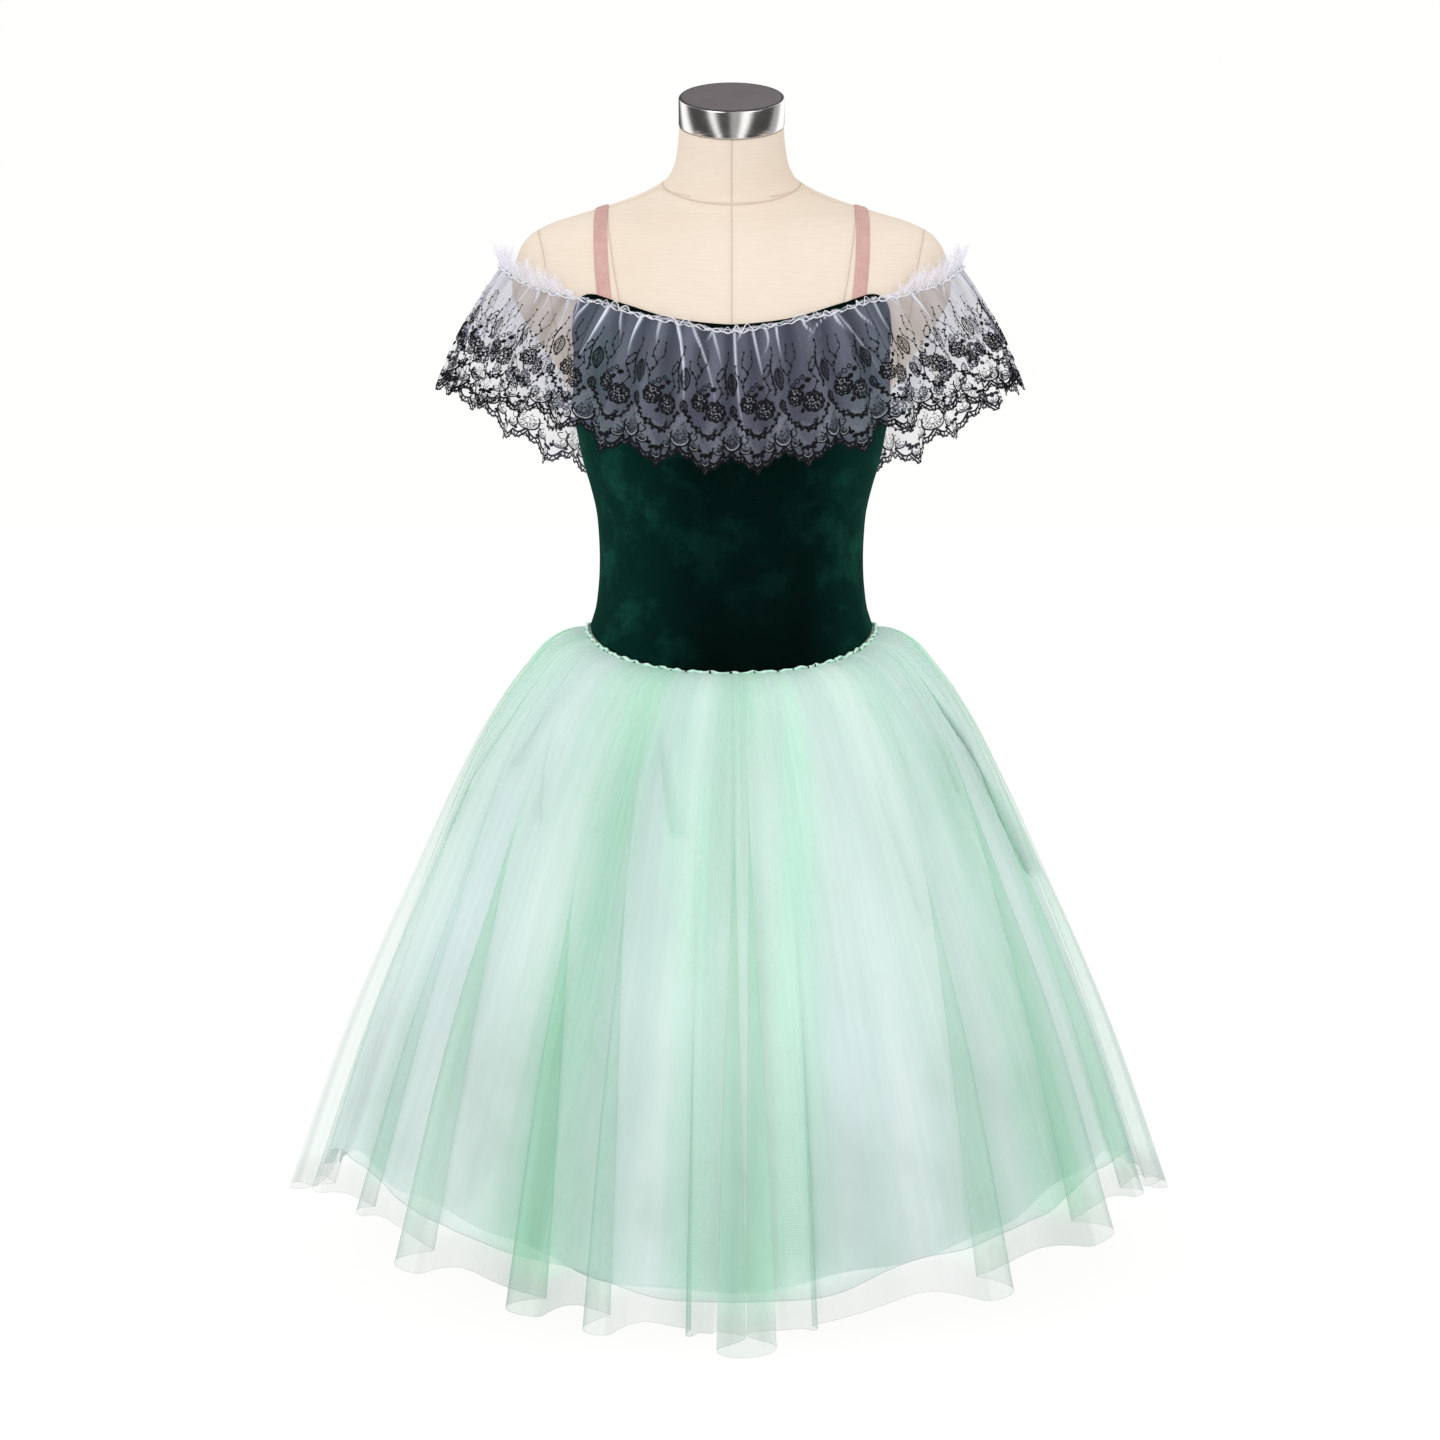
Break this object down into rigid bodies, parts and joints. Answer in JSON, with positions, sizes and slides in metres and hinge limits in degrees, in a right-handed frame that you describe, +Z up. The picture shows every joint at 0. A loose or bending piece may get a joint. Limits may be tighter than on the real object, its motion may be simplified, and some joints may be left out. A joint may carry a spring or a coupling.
{
  "type": "ballet dress on a dress form",
  "caption": "Ballet dress with a velvet bodice, off-the-shoulder lace ruffle and gathered net skirt, on a limbless dress form with a steel neck cap and a hidden stand.",
  "frame": {"origin": "centre of the underside of the stand's round foot, on the floor", "axes": "+Z up; the dress faces -Y; +X is the wearer's left"},
  "size_m": [0.7942, 0.7252, 1.0501],
  "materials": {
    "canvas": "plain cotton canvas",
    "steel": "brushed",
    "cap_top": "satin",
    "velvet": "short-pile velvet with a soft sheen",
    "elastic": "woven elastic",
    "lace": "fine net embroidered in black",
    "mint_net": "sheer soft net",
    "white_net": "soft net"
  },
  "bodies": {
    "root": {"dress_form": "canvas", "neck_cap_ring": "steel", "neck_cap_disc": "cap_top", "stand_foot": "steel", "stand_pole": "steel", "bodice_front": "velvet", "bodice_back": "velvet", "strap_left": "elastic", "strap_right": "elastic", "ruffle_front": "lace", "ruffle_left": "lace", "ruffle_right": "lace", "ruffle_back": "lace", "skirt_over": "mint_net", "skirt_middle": "white_net", "skirt_under": "white_net"}
  },
  "joints": []
}
